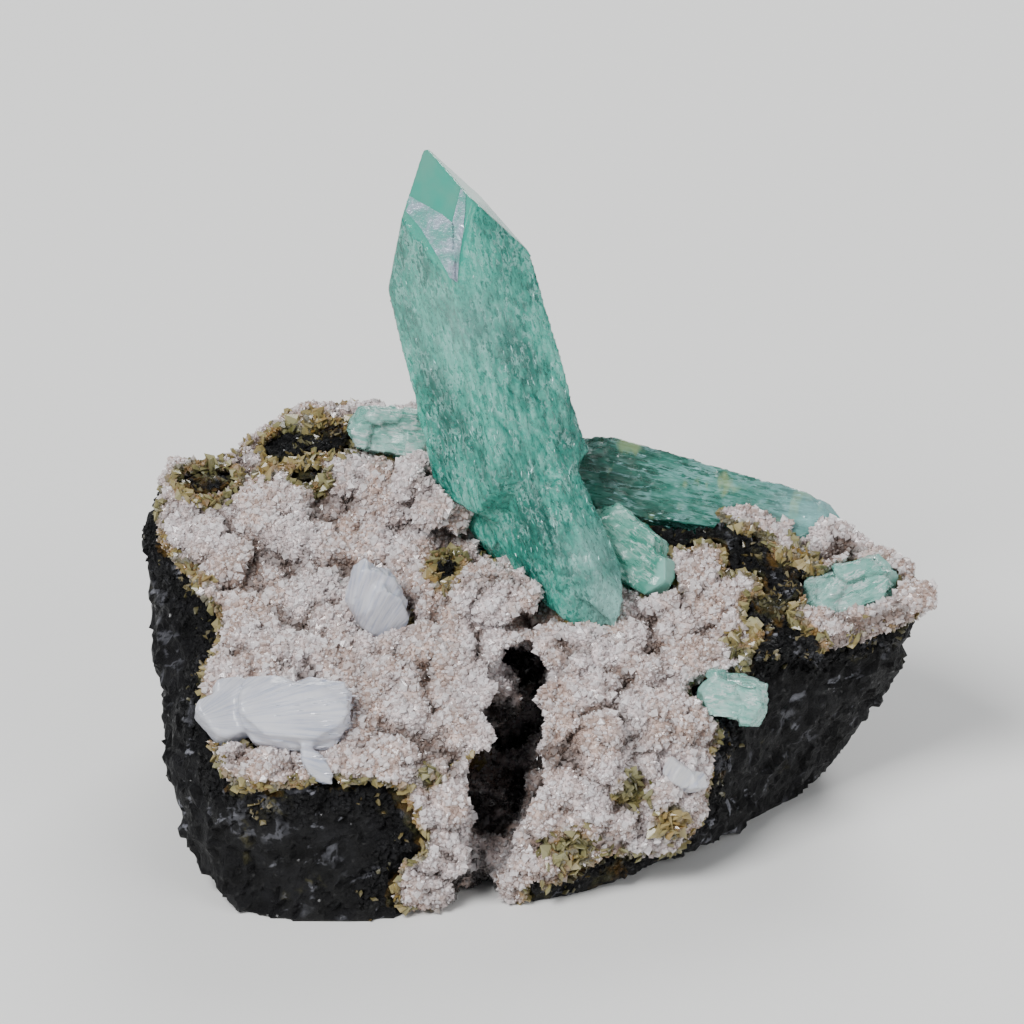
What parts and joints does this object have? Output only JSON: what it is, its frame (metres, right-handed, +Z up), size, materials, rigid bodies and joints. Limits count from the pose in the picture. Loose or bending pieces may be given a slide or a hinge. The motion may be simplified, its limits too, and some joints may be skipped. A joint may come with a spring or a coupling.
{
  "type": "mineral specimen",
  "caption": "Green apophyllite crystals with white stilbite on a drusy crust over a dark basalt rock with a flat base.",
  "frame": {"origin": "on the flat underside, below the middle of the whole specimen's box", "axes": "+Z up from the flat underside; +X to the right of someone who looks at the drusy show face; -Y towards that viewer"},
  "size_m": [0.0838, 0.0594, 0.0669],
  "materials": {
    "basalt": "rough broken basalt, nearly black with grey streaks",
    "druse": "sparkling druse of tiny pinkish-white crystals",
    "green_crystal": "translucent, streaked teal green, glassy",
    "pale_crystal": "translucent pale green, glassy",
    "stilbite": "satin, fibrous bluish white"
  },
  "bodies": {
    "root": {"basalt_matrix": "basalt", "drusy_crust": "druse", "tall_crystal": "green_crystal", "lying_crystal": "green_crystal", "fan_crystal": "green_crystal", "behind_crystal": "pale_crystal", "pale_crystal_upper": "pale_crystal", "pale_crystal_lower": "pale_crystal", "stilbite_blade": "stilbite", "stilbite_sheaf": "stilbite", "white_blocks": "stilbite"}
  },
  "joints": []
}
